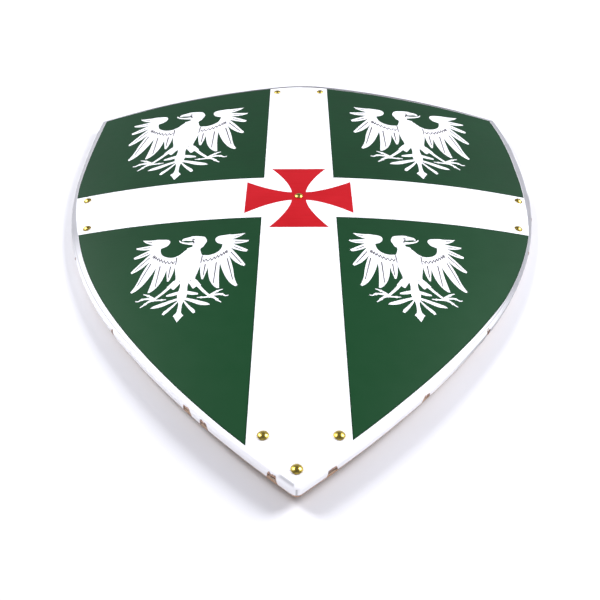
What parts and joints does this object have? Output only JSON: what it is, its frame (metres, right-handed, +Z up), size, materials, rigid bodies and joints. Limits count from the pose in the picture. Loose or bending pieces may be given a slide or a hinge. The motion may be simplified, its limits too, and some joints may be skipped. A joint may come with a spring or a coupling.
{
  "type": "heater shield",
  "caption": "Curved wooden heater shield, painted white with green quarters, heraldic eagles and a small red cross, domed brass nails on the bands and leather straps behind",
  "frame": {"origin": "centre of the bounding box's underside, on the floor under the middle of the shield", "axes": "+Y runs from the tip to the top edge, +X across the face to the right as seen from the front, +Z up out of the painted face"},
  "size_m": [0.5994, 0.7096, 0.0593],
  "materials": {
    "plywood": "bare plywood, lightly sanded, its layers showing along the edge",
    "painted_cover": "thin white cover with a satin sheen, painted dark green in four quarters",
    "brass": "polished domed heads, slightly tarnished",
    "leather": "plain brown strap leather, waxed",
    "screw_steel": "dark plated pan heads"
  },
  "bodies": {
    "root": {"plywood_board": "plywood", "painted_cover": "painted_cover", "centre_nail": "brass", "top_nail_left": "brass", "top_nail_right": "brass", "lower_nail_left": "brass", "lower_nail_right": "brass", "left_nail_upper": "brass", "left_nail_lower": "brass", "right_nail_upper": "brass", "right_nail_lower": "brass", "tip_nail": "brass", "arm_strap": "leather", "hand_strap": "leather", "arm_strap_screw_upper_left": "screw_steel", "arm_strap_screw_upper_right": "screw_steel", "arm_strap_screw_lower_left": "screw_steel", "arm_strap_screw_lower_right": "screw_steel", "hand_strap_screw_upper_left": "screw_steel", "hand_strap_screw_upper_right": "screw_steel", "hand_strap_screw_lower_left": "screw_steel", "hand_strap_screw_lower_right": "screw_steel"}
  },
  "joints": []
}
